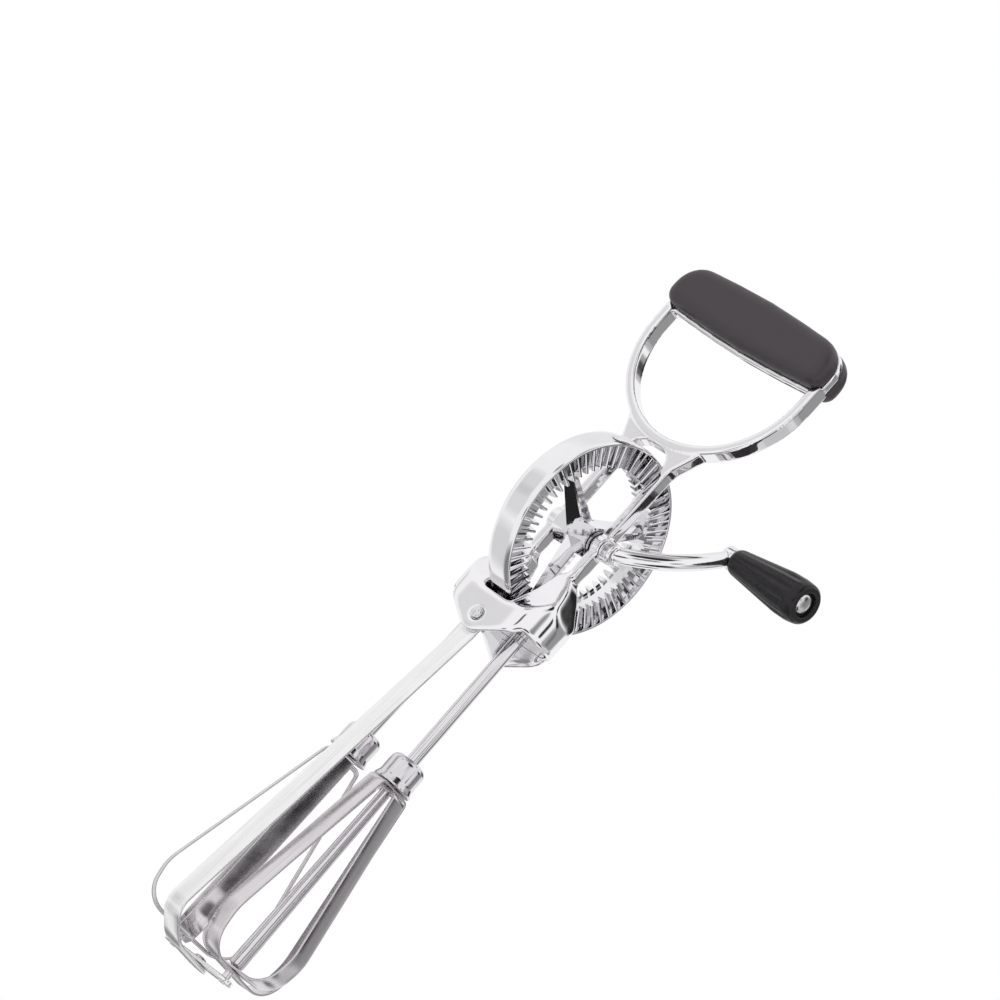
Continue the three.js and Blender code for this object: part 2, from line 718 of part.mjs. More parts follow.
function beaterCollar() {
  const { top, bottom, radius, skirt } = COLLAR;
  const bore = SHAFT_RADIUS + 0.2;
  return solid(
    turnedUpright(
      [
        [bore, local(bottom)],
        [skirt, local(bottom)],
        [skirt, local(bottom) + 0.8],
        [radius, local(bottom) + 2.6],
        [radius, local(top) - 2.2],
        [radius - 0.7, local(top) - 0.8],
        [radius - 2.2, local(top)],
        [bore, local(top)],
      ],
      24,
    ),
  );
}

// A strip bent into a closed loop: square shoulders, straight flaring sides, rounded lower corners.
function beaterLoop(inset, turn) {
  const { top, bottom, shoulder, belly, bellyHeight, cornerRadius } = LOOP;
  const right = [
    [belly - 3, local(bottom), cornerRadius],
    [belly, local(bellyHeight), 20],
    [shoulder, local(top), 2.6],
  ];
  const left = right.map(([x, z, radius]) => [-x, z, radius]).reverse();
  const band = ringShape([...left, ...right], inset, STRIP.thickness);
  const strip = plate(band, STRIP.width, "xz").rotateZ(turn);
  const rodHole = solid(rodZ(ROD.top + GAP, local(bottom) + 4, 0));
  const pivotHole = solid(rodZ(ROD.pivot + GAP, local(bottom) - 5, 0));
  return cut(solid(strip), rodHole, pivotHole);
}

function beater(name, side, turn) {
  const group = new THREE.Group();
  group.position.set(0, side * PINION_CENTRE.y, PINION_CENTRE.z);
  group.rotation.x = side * SPLAY;
  group.add(
    part(`${name}_pinion`, pinion(side), steel()),
    part(`${name}_pinion_pin`, pinionPin(), steel()),
    part(`${name}_shaft`, beaterShaft(), steel()),
    part(`${name}_thrust_washer`, thrustWasher(), steel()),
    part(`${name}_collar`, beaterCollar(), chrome()),
    part(`${name}_outer_loop`, beaterLoop(0, turn), steel()),
    part(`${name}_inner_loop`, beaterLoop(STRIP.thickness + GAP, turn + Math.PI / 2), steel()),
  );
  return group;
}

// ---- Assembly ----

const frame = new THREE.Group();
frame.add(
  part("frame_casting", frameCasting(), chrome()),
  part("near_grip_shell", gripShell(1), blackPlastic()),
  part("far_grip_shell", gripShell(-1), blackPlastic()),
  part("front_grip_pin", gripPin(1), steel()),
  part("rear_grip_pin", gripPin(-1), steel()),
  part("guide_plate", guidePlate(), steel()),
  part("side_strut", sideStrut(), steel()),
  part("strut_rivet", strutRivet(), steel()),
  part("foot_crossbar", footCrossbar(), steel()),
  part("foot_rivet", footRivet(), steel()),
);

const drive = new THREE.Group();
drive.add(
  part("drive_wheel", driveWheel(), chrome()),
  part("wheel_axle", wheelAxle(), steel()),
  part("wheel_pin", wheelPin(), steel()),
  part("front_axle_washer", axleWasher(1), steel()),
  part("rear_axle_washer", axleWasher(-1), steel()),
  part("crank_arm", crankArm(), chrome()),
  part("crank_pin", crankPin(), steel()),
  part("knob_spindle", knobSpindle(), steel()),
  part("crank_knob", crankKnob(), blackPlastic()),
);

const mechanism = new THREE.Group();
mechanism.position.z = AXLE_HEIGHT;
mechanism.add(frame, drive, beater("front", 1, 0), beater("rear", -1, Math.PI / 4));

const eggBeater = new THREE.Group();
eggBeater.add(mechanism);

export default eggBeater;
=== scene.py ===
"""The looks of the hand-cranked egg beater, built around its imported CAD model. Metres, +Z up to the grip."""
import bmesh
import bpy
import json
import math
from mathutils import Matrix, Quaternion, Vector


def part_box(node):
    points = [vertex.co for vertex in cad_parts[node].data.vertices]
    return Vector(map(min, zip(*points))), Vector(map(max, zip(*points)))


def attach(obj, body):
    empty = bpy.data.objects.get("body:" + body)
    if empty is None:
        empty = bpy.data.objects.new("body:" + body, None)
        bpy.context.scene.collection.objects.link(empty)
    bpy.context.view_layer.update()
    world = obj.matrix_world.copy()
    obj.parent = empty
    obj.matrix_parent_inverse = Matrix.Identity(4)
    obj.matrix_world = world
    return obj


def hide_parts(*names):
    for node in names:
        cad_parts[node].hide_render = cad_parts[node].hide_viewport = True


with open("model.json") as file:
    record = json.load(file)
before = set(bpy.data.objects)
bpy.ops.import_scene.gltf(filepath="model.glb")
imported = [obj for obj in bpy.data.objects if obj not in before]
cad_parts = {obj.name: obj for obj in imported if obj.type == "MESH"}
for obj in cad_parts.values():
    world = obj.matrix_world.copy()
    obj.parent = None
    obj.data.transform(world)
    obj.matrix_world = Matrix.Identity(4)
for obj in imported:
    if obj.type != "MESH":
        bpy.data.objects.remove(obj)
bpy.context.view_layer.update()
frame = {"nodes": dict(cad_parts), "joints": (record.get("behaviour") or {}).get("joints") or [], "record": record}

MM = 0.001
INSIDE = 0.01 * MM  # keeps a piece that ends on the CAD's box just inside it
UV_UNIT = 10 * MM  # the length of strip that one UV unit covers
SHARP = math.radians(38)  # an edge that turns by more than this is drawn crisp
JOINTS = {joint["name"]: joint for joint in frame["joints"]}
SLOTS = {part["node"]: part["material_slot"] for part in frame["record"]["subparts"]}
BODIES = {node: body for body, nodes in frame["record"]["behaviour"]["bodies"].items() for node in nodes}
AXLE = Vector(JOINTS["wheel_spin"]["pos_m"])
KNOB = Vector(JOINTS["knob_spin"]["pos_m"])

# Sizes that the boxes of the CAD nodes don't give. The strut's bends are measured down from the axle, and the
# first spoke's angle is in degrees from straight up.
STRUT = {
    "thickness": 1.2 * MM,
    "top_x": 10.45 * MM,
    "upper_bend": 55.5 * MM,
    "elbow": 197 * MM,
    "elbow_x": 30 * MM,
}
WHEEL = {
    "half_width": 5.75 * MM,
    "wall": 1.4 * MM,
    "sides": 240,
    "teeth": 60,
    "tooth_inner": 28 * MM,
    "tooth_tip": 5.4 * MM,
    "web_half": 3 * MM,
    "web_inner": 29.2 * MM,
    "spoke_angle": 68,
    "spoke_taper": 0.45,
    "hub": 6.8 * MM,
}
CRANK = {"reach": 32.4 * MM, "thickness": 3.2 * MM, "hub": (14.7 * MM, 19.6 * MM), "eye": 4.3 * MM}


# ---- Mesh helpers ----

def new_object(name, mesh):
    made = bpy.data.objects.new(name, mesh)
    bpy.context.scene.collection.objects.link(made)
    return made


def object_from(name, build):
    """A new object whose mesh is what the build function puts in a bmesh."""
    shape = bmesh.new()
    build(shape)
    bmesh.ops.remove_doubles(shape, verts=shape.verts, dist=1e-7)
    bmesh.ops.recalc_face_normals(shape, faces=shape.faces)
    mesh = bpy.data.meshes.new(name)
    shape.to_mesh(mesh)
    shape.free()
    return new_object(name, mesh)


def smooth(made, angle=SHARP):
    made.data.shade_smooth()
    made.data.set_sharp_from_angle(angle=angle)
    return made


def stand_for(made, *nodes):
    """The piece takes the place, body and material of CAD nodes."""
    slot = SLOTS[nodes[0]]
    made.data.materials.clear()
    made.data.materials.append(MATERIALS[slot])
    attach(made, BODIES[nodes[0]])
    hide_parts(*nodes)
    return made


def joint_frame(name, turn=0.0):
    """The frame of a beater's joint: its origin in the pinion's middle and z along the shaft."""
    joint = JOINTS[name]
    up = Vector(joint["axis"]).normalized()
    across = Vector((1, 0, 0))
    side = up.cross(across).normalized()
    axes = Matrix((across, side, up)).transposed().to_4x4()
    return Matrix.Translation(joint["pos_m"]) @ axes @ Matrix.Rotation(turn, 4, "Z")


def axle_frame(x=0.0, z=0.0):
    """A frame whose z runs along the wheel's axle, moved sideways from it by x and z."""
    axes = Matrix(((1, 0, 0), (0, 0, 1), (0, -1, 0))).to_4x4()
    return Matrix.Translation(AXLE + Vector((x, 0, z))) @ axes


def on_axle_line(centre):
    """A frame along the axle's direction, moved sideways to pass through a point."""
    return axle_frame(centre.x - AXLE.x, centre.z - AXLE.z)


def local_box(node, place):
    """Lowest and highest corner of a CAD node in a frame of its own."""
    back = place.inverted()
    points = [back @ vertex.co for vertex in frame["nodes"][node].data.vertices]
    low = Vector(min(point[axis] for point in points) for axis in range(3))
    high = Vector(max(point[axis] for point in points) for axis in range(3))
    return low, high


def rounded_path(corners, closed, step=math.radians(6)):
    """A line through (x, z, radius) corners with each corner rounded, as a list of 2-D points."""
    points = []
    count = len(corners)
    for index, (x, z, radius) in enumerate(corners):
        here = Vector((x, z))
        if radius == 0 or (not closed and index in (0, count - 1)):
            points.append(here)
            continue
        before = (here - Vector(corners[index - 1][:2])).normalized()
        after = (Vector(corners[(index + 1) % count][:2]) - here).normalized()
        turn = math.atan2(before.x * after.y - before.y * after.x, before.dot(after))
        start = here - before * radius * math.tan(abs(turn) / 2)
        side = Vector((-before.y, before.x)) * math.copysign(1, turn)
        centre = start + side * radius
        steps = max(2, math.ceil(abs(turn) / step))
        for i in range(steps + 1):
            spoke = start - centre
            spoke.rotate(Matrix.Rotation(turn * i / steps, 2))
            points.append(centre + spoke)
    return points


def lathe(shape, profile, place, sides=72, flute=None):
    """A turned body: (radius, height, rounding) corners run once round, about the frame's z.
    flute(height, angle) may shrink the radius."""
    outline = rounded_path(profile, True, math.radians(18))
    rings = []
    for point in outline:
        if point.x < 1e-9:
            rings.append([shape.verts.new(place @ Vector((0, 0, point.y)))])
            continue
        ring = []
        for i in range(sides):
            angle = 2 * math.pi * i / sides
            radius = point.x * (flute(point.y, angle) if flute else 1)
            spot = Vector((radius * math.cos(angle), radius * math.sin(angle), point.y))
            ring.append(shape.verts.new(place @ spot))
        rings.append(ring)
    for ring, following in zip(rings, rings[1:] + rings[:1]):
        for i in range(sides):
            j = (i + 1) % sides
            corners = [ring[i % len(ring)], ring[j % len(ring)]]
            corners += [following[j % len(following)], following[i % len(following)]]
            corners = list(dict.fromkeys(corners))
            if len(corners) > 2:
                shape.faces.new(corners)


def ribbon(name, path, closed, width, thickness, place, tips=(0.0, 0.0)):
    """A flat strip with soft edges bent along a path in the frame's xz plane. Its UV runs along the strip.
    tips are the lengths over which an open strip's first and last ends are rounded in plan."""
    soft = 0.3 * thickness
    section = rounded_path(
        [
            (-width / 2, -thickness / 2, soft),
            (width / 2, -thickness / 2, soft),
            (width / 2, thickness / 2, soft),
            (-width / 2, thickness / 2, soft),
        ],
        True,
        math.radians(30),
    )
    count = len(path)
    lengths = [0.0]
    for point, following in zip(path, path[1:]):
        lengths.append(lengths[-1] + (following - point).length)

    def build(shape):
        layer = shape.loops.layers.uv.new("UVMap")
        rings = []
        for i, point in enumerate(path):
            behind = path[i - 1] if closed or i else point
            ahead = path[(i + 1) % count] if closed or i < count - 1 else point
            along = (ahead - behind).normalized()
            if 0 < i < count - 1 or closed:
                first, second = (point - behind).normalized(), (ahead - point).normalized()
                stretch = 1 / max(0.5, math.sqrt((1 + first.dot(second)) / 2))
            else:
                stretch = 1
            normal = Vector((-along.y, along.x)) * stretch
            share = 1.0
            for tip, left in zip(tips, (lengths[i], lengths[-1] - lengths[i])):
                if left < tip:
                    share = max(0.05, math.sqrt(max(0.0, 1 - ((tip - left) / tip) ** 2)))
            ring = []
            for across, out in section:
                spot = point + normal * out
                ring.append(shape.verts.new(place @ Vector((spot.x, across * share, spot.y))))
            rings.append(ring)
        pairs = list(zip(range(count), list(range(1, count)) + [0]))
        if not closed:
            pairs.pop()
            shape.faces.new(rings[0])
            shape.faces.new(list(reversed(rings[-1])))
        sides = len(section)
        for a, b in pairs:
            start = lengths[a]
            end = lengths[b] if b else start + (path[0] - path[-1]).length
            for i in range(sides):
                j = (i + 1) % sides
                face = shape.faces.new((rings[a][i], rings[a][j], rings[b][j], rings[b][i]))
                marks = (
                    (start, section[i].x), (start, section[j].x),
                    (end, section[j].x), (end, section[i].x),
                )
                for loop, mark in zip(face.loops, marks):
                    loop[layer].uv = (mark[0] / UV_UNIT, mark[1] / UV_UNIT)

    return object_from(name, build)


def spline(points, steps):
    """Points along a smooth curve through the given ones."""
    padded = [2 * points[0] - points[1], *points, 2 * points[-1] - points[-2]]
    made = []
    for a, b, c, d in zip(padded, padded[1:], padded[2:], padded[3:]):
        for i in range(steps):
            t = i / steps
            slope, bend, twist = c - a, 2 * a - 5 * b + 4 * c - d, 3 * b - 3 * c + d - a
            made.append(0.5 * (2 * b + slope * t + bend * t**2 + twist * t**3))
    made.append(points[-1])
    return made


def tube(shape, centres, sizes, side, sides=32):
    """An oval bar along a line of centres. sizes are (half width across side, half width along side)."""
    rings = []
    count = len(centres)
    for i, centre in enumerate(centres):
        along = (centres[min(i + 1, count - 1)] - centres[max(i - 1, 0)]).normalized()
        out = along.cross(side).normalized()
        wide, deep = sizes[i]
        ring = []
        for k in range(sides):
            angle = 2 * math.pi * k / sides
            spot = centre + out * wide * math.cos(angle) + side * deep * math.sin(angle)
            ring.append(shape.verts.new(spot))
        rings.append(ring)
    for ring, following in zip(rings, rings[1:]):
        for k in range(sides):
            j = (k + 1) % sides
            shape.faces.new((ring[k], ring[j], following[j], following[k]))
    shape.faces.new(rings[0])
    shape.faces.new(list(reversed(rings[-1])))


def prism(shape, corners, low, high, place, taper=1.0):
    """A straight-sided bar: corners are (x, y) in the frame, from low to high along its z."""
    bottom = [shape.verts.new(place @ Vector((x, y, low))) for x, y in corners]
    top = [shape.verts.new(place @ Vector((x * taper, y * taper, high))) for x, y in corners]
    count = len(corners)
    for i in range(count):
        j = (i + 1) % count
        shape.faces.new((bottom[i], bottom[j], top[j], top[i]))
    shape.faces.new(list(reversed(bottom)))
    shape.faces.new(top)


def bake(made):
    """Applies the modifiers of a piece to its mesh."""
    graph = bpy.context.evaluated_depsgraph_get()
    baked = bpy.data.meshes.new_from_object(made.evaluated_get(graph))
    made.modifiers.clear()
    made.data = baked
    made.data.shade_smooth()
    return made


def melt(made, voxel, rounds):
    """Remeshes a piece finely and relaxes it, which rounds every edge the way plating and polishing do."""
    remesh = made.modifiers.new("melt", "REMESH")
    remesh.mode = "VOXEL"
    remesh.voxel_size = voxel
    relax = made.modifiers.new("relax", "SMOOTH")
    relax.factor = 0.5
    relax.iterations = rounds
    return bake(made)


def relax_where(made, weight, rounds):
    """Relaxes a piece further where weight(point) is above 0."""
    group = made.vertex_groups.new(name="soft")
    for vertex in made.data.vertices:
        share = weight(vertex.co)
        if share > 0:
            group.add([vertex.index], share, "REPLACE")
    relax = made.modifiers.new("relax_more", "SMOOTH")
    relax.factor = 0.5
    relax.iterations = rounds
    relax.vertex_group = group.name
    bake(made)
    made.vertex_groups.clear()
    return made


def copy_of(node, name):
    return new_object(name, frame["nodes"][node].data.copy())


# ---- Materials ----

def add_node(tree, kind, inputs=None, **settings):
    """A shader node with its settings and inputs; an input is a value or another node's socket."""
    node = tree.nodes.new(kind)
    for name, value in settings.items():
        setattr(node, name, value)
    for name, value in (inputs or {}).items():
        if isinstance(value, bpy.types.NodeSocket):
            tree.links.new(value, node.inputs[name])
        else:
            node.inputs[name].default_value = value
    return node


def new_material(name):
    material = bpy.data.materials.new(name)
    material.use_nodes = True
    tree = material.node_tree
    return material, tree, tree.nodes["Principled BSDF"]


def noise(tree, scale, detail=3.0, stretch=(1, 1, 1), along="Object"):
    """Noise in the tool's own space or along a strip, stretched along any axis whose factor is small."""
    place = add_node(tree, "ShaderNodeTexCoord")
    mapping = add_node(tree, "ShaderNodeMapping", {"Vector": place.outputs[along], "Scale": stretch})
    texture = add_node(
        tree, "ShaderNodeTexNoise",
        {"Vector": mapping.outputs["Vector"], "Scale": scale, "Detail": detail},
    )
    return texture.outputs["Fac"]


def spread(tree, value, low, high, start=0.3, end=0.7):
    """A value from start to end, spread over a range."""
    node = add_node(
        tree, "ShaderNodeMapRange",
        {"Value": value, "From Min": start, "From Max": end, "To Min": low, "To Max": high},
    )
    return node.outputs["Result"]


def mix_colors(tree, factor, first, second):
    node = add_node(tree, "ShaderNodeMix", data_type="RGBA")
    tree.links.new(factor, node.inputs["Factor"])
    for socket, color in ((node.inputs[6], first), (node.inputs[7], second)):
        if isinstance(color, bpy.types.NodeSocket):
            tree.links.new(color, socket)
        else:
            socket.default_value = (*color, 1)
    return node.outputs[2]


def bump(tree, height, distance, strength=1.0, below=None):
    node = add_node(tree, "ShaderNodeBump", {"Height": height, "Distance": distance, "Strength": strength})
    if below is not None:
        tree.links.new(below, node.inputs["Normal"])
    return node.outputs["Normal"]


def edge_mask(tree, radius):
    """Near 1 on edges and corners, 0 on open faces."""
    soft = add_node(tree, "ShaderNodeBevel", {"Radius": radius}, samples=4)
    plain = add_node(tree, "ShaderNodeNewGeometry")
    same = add_node(tree, "ShaderNodeVectorMath", operation="DOT_PRODUCT")
    tree.links.new(soft.outputs["Normal"], same.inputs[0])
    tree.links.new(plain.outputs["Normal"], same.inputs[1])
    return spread(tree, same.outputs["Value"], 1, 0, 0.75, 0.99)


def chrome_plate(name, tint=(0.9, 0.885, 0.905)):
    """Bright plating: near-mirror, with faint smudges, a slow ripple and fine polishing hairlines."""
    material, tree, shader = new_material(name)
    smudges = noise(tree, 90)
    ripple = noise(tree, 140, 1)
    hairlines = noise(tree, 2500, 2, (1, 1, 0.08))
    dull = tuple(0.93 * value for value in tint)
    shader.inputs["Metallic"].default_value = 1
    tree.links.new(mix_colors(tree, smudges, dull, tint), shader.inputs["Base Color"])
    tree.links.new(spread(tree, smudges, 0.035, 0.095), shader.inputs["Roughness"])
    waves = bump(tree, ripple, 0.00003, 0.5)
    tree.links.new(bump(tree, hairlines, 0.000003, 0.25, waves), shader.inputs["Normal"])
    return material


def brushed_steel(name, tint, along="Object", stretch=(1, 1, 0.02), scale=4000, rough=0.24):
    """Satin steel with its brushing along one direction, a little darker where it is handled."""
    material, tree, shader = new_material(name)
    lines = noise(tree, scale, 3, stretch, along)
    patches = noise(tree, 110)
    dark = tuple(0.8 * value for value in tint)
    shader.inputs["Metallic"].default_value = 1
    tree.links.new(mix_colors(tree, spread(tree, lines, 0, 1), dark, tint), shader.inputs["Base Color"])
    tree.links.new(spread(tree, patches, rough - 0.05, rough + 0.07), shader.inputs["Roughness"])
    tree.links.new(bump(tree, lines, 0.00001, 0.35), shader.inputs["Normal"])
    return material


def black_plastic(name, tint, rough=0.42, sheen=0.5):
    """Moulded plastic: a fine grain, slow patches of sheen and a painted highlight that makes its edges and
    corners paler.
    """
    material, tree, shader = new_material(name)
    shader.inputs["Specular IOR Level"].default_value = sheen
    speckle = noise(tree, 2600, 2)
    patches = noise(tree, 120)
    # Painted highlight: edges and corners are painted towards a paler colour, 2.4 times the tint, in place of
    # light catching them.
    painted_edge_highlight = edge_mask(tree, 0.0009)
    light = tuple(1.3 * value for value in tint)
    edge = tuple(2.4 * value for value in tint)
    body = mix_colors(tree, patches, tint, light)
    # The painted edge highlight is mixed over the body colour here.
    tree.links.new(mix_colors(tree, painted_edge_highlight, body, edge), shader.inputs["Base Color"])
    tree.links.new(spread(tree, patches, rough - 0.05, rough + 0.05), shader.inputs["Roughness"])
    tree.links.new(bump(tree, speckle, 0.00002, 0.35), shader.inputs["Normal"])
    return material


MATERIALS = {
    "frame_chrome": chrome_plate("frame_chrome"),
    "wheel_chrome": chrome_plate("wheel_chrome", (0.87, 0.86, 0.88)),
    "crank_chrome": chrome_plate("crank_chrome"),
    "collar_chrome": brushed_steel("collar_chrome", (0.78, 0.76, 0.79), "Object", (1, 1, 0.05), 3000, 0.13),
    "strip_steel": brushed_steel("strip_steel", (0.77, 0.74, 0.765), "UV", (0.01, 1, 1), 30, 0.2),
    "strut_steel": brushed_steel("strut_steel", (0.97, 0.96, 0.97), "UV", (0.01, 1, 1), 30, 0.16),
    "shaft_steel": brushed_steel("shaft_steel", (0.84, 0.82, 0.85), rough=0.11),
    "pinion_steel": brushed_steel("pinion_steel", (0.5, 0.5, 0.52)),
    "plain_steel": brushed_steel("plain_steel", (0.78, 0.78, 0.79), rough=0.18),
    "washer_steel": brushed_steel("washer_steel", (0.62, 0.62, 0.63)),
    "grip_plastic": black_plastic("grip_plastic", (0.023, 0.0175, 0.0215)),
    "knob_plastic": black_plastic("knob_plastic", (0.009, 0.0075, 0.009), 0.3, 0.3),
}


# ---- Frame pieces ----

def frame_casting():
    """The polished casting. Its housing, below the axle, is rounded more than its bars."""
    casting = melt(copy_of("frame_casting", "polished_frame"), voxel=0.42 * MM, rounds=10)
    shoulder = AXLE.z - 10 * MM
    fade = 10 * MM

    def on_housing(point):
        return max(0.0, min(1.0, (shoulder - point.z) / fade))

    stand_for(relax_where(casting, on_housing, rounds=90), "frame_casting")


def grip_shells():
    for side in ("near", "far"):
        shell = melt(copy_of(f"{side}_grip_shell", f"{side}_grip_cover"), voxel=0.5 * MM, rounds=12)
        stand_for(shell, f"{side}_grip_shell")


def side_strut():
    """The strut from behind the near plate down to its rounded foot."""
    low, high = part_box("side_strut")
    width = high.y - low.y
    foot = low.z + STRUT["thickness"] / 2 + INSIDE
    corners = [
        (STRUT["top_x"], high.z, 0),
        (STRUT["top_x"], AXLE.z - STRUT["upper_bend"], 12 * MM),
        (STRUT["elbow_x"], AXLE.z - STRUT["elbow"], 8 * MM),
        (STRUT["elbow_x"] - 12 * MM, foot, 14 * MM),
        (low.x, foot, 0),
    ]
    path = rounded_path(corners, False)
    steps = 24
    tip = [path[-2].lerp(path[-1], i / steps) for i in range(1, steps + 1)]
    place = Matrix.Identity(4)
    made = ribbon("bent_strut", path[:-1] + tip, False, width, STRUT["thickness"], place, (0.0, width / 2))
    stand_for(smooth(made), "side_strut")


def foot_crossbar():
    low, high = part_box("foot_crossbar")
    width, thickness = high.x - low.x, high.z - low.z
    middle = (low.z + high.z) / 2
    steps = 30
    points = [Vector((high.y * (i / steps - 1), middle)) for i in range(2 * steps + 1)]
    along_y = Matrix.Rotation(math.pi / 2, 4, "Z")
    made = ribbon("foot_bar", points, False, width, thickness, along_y, (width / 2, width / 2))
    stand_for(smooth(made), "foot_crossbar")


def dome(radius, seat, rise):
    """The profile of a domed head from its rim to its top."""
    angles = [math.radians(degrees) for degrees in (0, 15, 30, 45, 60, 75)]
    rim = [(radius * math.cos(angle), seat + rise * math.sin(angle), 0) for angle in angles]
    return rim + [(0, seat + rise, 0)]


def rivet(name, node, place, heights, radii, rise):
    """A turned rivet along its frame's z. heights are its start and the head's seat. radii are the shank's,
    the domed head's and, on a rivet that has one, the spread tail's."""
    start, seat = heights
    shank, head, *tail = radii
    foot = [(shank, start, 0)]
    if tail:
        soft = 0.1 * MM
        tail_end = start + 0.9 * MM
        foot = [(tail[0], start, soft), (tail[0], tail_end, soft), (shank, tail_end, 0)]
    profile = [(0, start, 0), *foot, (shank, seat, 0), *dome(head, seat, rise)]
    made = object_from(name, lambda shape: lathe(shape, profile, place, 40))
    stand_for(smooth(made), node)


def rivets():
    shank, head, tail = 1.5 * MM, 2.5 * MM, 2.4 * MM
    low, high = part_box("strut_rivet")
    centre = (low + high) / 2
    to_near = Matrix.Translation((0, centre.y, centre.z)) @ Matrix.Rotation(math.pi / 2, 4, "Y")
    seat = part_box("frame_casting")[1].x + 0.2 * MM
    rivet("strut_rivet_head", "strut_rivet", to_near, (low.x, seat), (shank, head, tail), 1.15 * MM)
    low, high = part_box("foot_rivet")
    rise = 1 * MM
    rivet("foot_rivet_head", "foot_rivet", Matrix.Identity(4), (low.z, high.z - rise), (shank, head), rise)


# ---- Drive pieces ----

def radial_frame(angle, face=1):
    """A frame at the axle whose z runs out along a radius, angle from straight up; y runs along the axle."""
    out = Vector((math.sin(angle), 0, math.cos(angle)))
    across = Vector((out.z, 0, -out.x)) * face
    axes = Matrix((across, Vector((0, face, 0)), out)).transposed().to_4x4()
    return Matrix.Translation(AXLE) @ axes


def both_sides(corners):
    """A closed outline from the corners of its upper side, mirrored below."""
    return [(radius, -height, soft) for radius, height, soft in corners] + corners[::-1]


def wheel_rim(shape, radius):
    """The rim, slightly crowned outside."""
    half = WHEEL["half_width"]
    upper = [
        (radius - WHEEL["wall"], half, 0.2 * MM),
        (radius - 0.5 * MM, half, 0.5 * MM),
        (radius, half - 1.7 * MM, 5 * MM),
    ]
    lathe(shape, both_sides(upper), axle_frame(), WHEEL["sides"])


def wheel_teeth(shape, reach):
    """The flat web inside the rim and the tapered teeth on both of its faces, out to reach."""
    half, inner = WHEEL["web_half"], WHEEL["web_inner"]
    upper = [(inner, half, 0.3 * MM), (reach, half, 0)]
    lathe(shape, both_sides(upper), axle_frame(), WHEEL["sides"])
    root, tip, bevel = 0.95 * MM, WHEEL["tooth_tip"], 0.25 * MM
    buried = half - 0.6 * MM
    tooth = [
        (-root, buried),
        (root, buried),
        (2 * bevel, tip - bevel),
        (bevel, tip),
        (-bevel, tip),
        (-2 * bevel, tip - bevel),
    ]
    for i in range(WHEEL["teeth"]):
        for face in (1, -1):
            place = radial_frame(2 * math.pi * i / WHEEL["teeth"], face)
            prism(shape, tooth, WHEEL["tooth_inner"], reach, place)


def wheel_spokes(shape):
    """Three flat diamond spokes that narrow towards the web."""
    wide, ridge, thick = 5.8 * MM, 0.5 * MM, 2.8 * MM
    section = [(wide, 0), (ridge, thick), (-ridge, thick), (-wide, 0), (-ridge, -thick), (ridge, -thick)]
    start, end = 2.8 * MM, WHEEL["web_inner"] + 1 * MM
    for i in range(3):
        place = radial_frame(math.radians(WHEEL["spoke_angle"] - 120 * i))
        prism(shape, section, start, end, place, WHEEL["spoke_taper"])


def wheel_hub(shape, half):
    """The six-sided hub."""
    radius = WHEEL["hub"]
    corners = [(radius * math.cos(i * math.pi / 3), radius * math.sin(i * math.pi / 3)) for i in range(6)]
    prism(shape, corners, -half, half, axle_frame() @ Matrix.Rotation(math.pi / 6, 4, "Z"))


def drive_wheel():
    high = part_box("drive_wheel")[1]

    def build(shape):
        wheel_rim(shape, high.x)
        wheel_teeth(shape, high.x - WHEEL["wall"] + 0.3 * MM)
        wheel_spokes(shape)
        wheel_hub(shape, high.y)

    made = object_from("polished_wheel", build)
    stand_for(smooth(made, math.radians(25)), "drive_wheel")


def wheel_axle():
    low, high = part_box("wheel_axle")
    radius = high.x
    profile = [(0, low.y, 0), (radius, low.y, 0.5 * MM), (radius, high.y, 0.3 * MM), (0, high.y, 0)]
    made = object_from("turned_axle", lambda shape: lathe(shape, profile, axle_frame(), 40))
    stand_for(smooth(made), "wheel_axle")


def crank_arm():
    """The arm leaves the axle outwards, bends round and runs out to the knob."""
    outward = Vector((KNOB.x - AXLE.x, 0, KNOB.z - AXLE.z))
    radius = outward.length
    outward.normalize()
    side = outward.cross(Vector((0, 1, 0)))
    reach, eye = CRANK["reach"], CRANK["eye"]
    marks = [  # how far out from the axle, and how far along it
        (0, 16.5 * MM),
        (1.5 * MM, 18.8 * MM),
        (6.5 * MM, 23 * MM),
        (15.5 * MM, 28.3 * MM),
        (27 * MM, reach - 0.9 * MM),
        (radius - 7 * MM, reach),
        (radius - 0.5 * MM, reach),
    ]
    points = [AXLE + outward * away + Vector((0, along, 0)) for away, along in marks]
    centres = spline(points, 10)
    shares = [i / (len(centres) - 1) for i in range(len(centres))]
    thick = CRANK["thickness"]
    sizes = [(thick - 0.2 * MM * share, thick - 0.25 * MM * share) for share in shares]

    def build(shape):
        tube(shape, centres, sizes, side)
        low, high = CRANK["hub"]
        hub = [(0, low, 0), (eye, low, 0.4 * MM), (eye - 0.2 * MM, high, 1 * MM), (0, high, 0)]
        lathe(shape, hub, axle_frame(), 48)
        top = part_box("crank_knob")[0].y - 0.3 * MM
        bottom = reach - 3 * MM
        end = [(0, bottom, 0), (eye - 0.2 * MM, bottom, 1.8 * MM), (eye, top, 0.4 * MM), (0, top, 0)]
        lathe(shape, end, axle_frame(outward.x * radius, outward.z * radius), 48)

    made = melt(object_from("polished_crank", build), voxel=0.25 * MM, rounds=14)
    stand_for(made, "crank_arm")


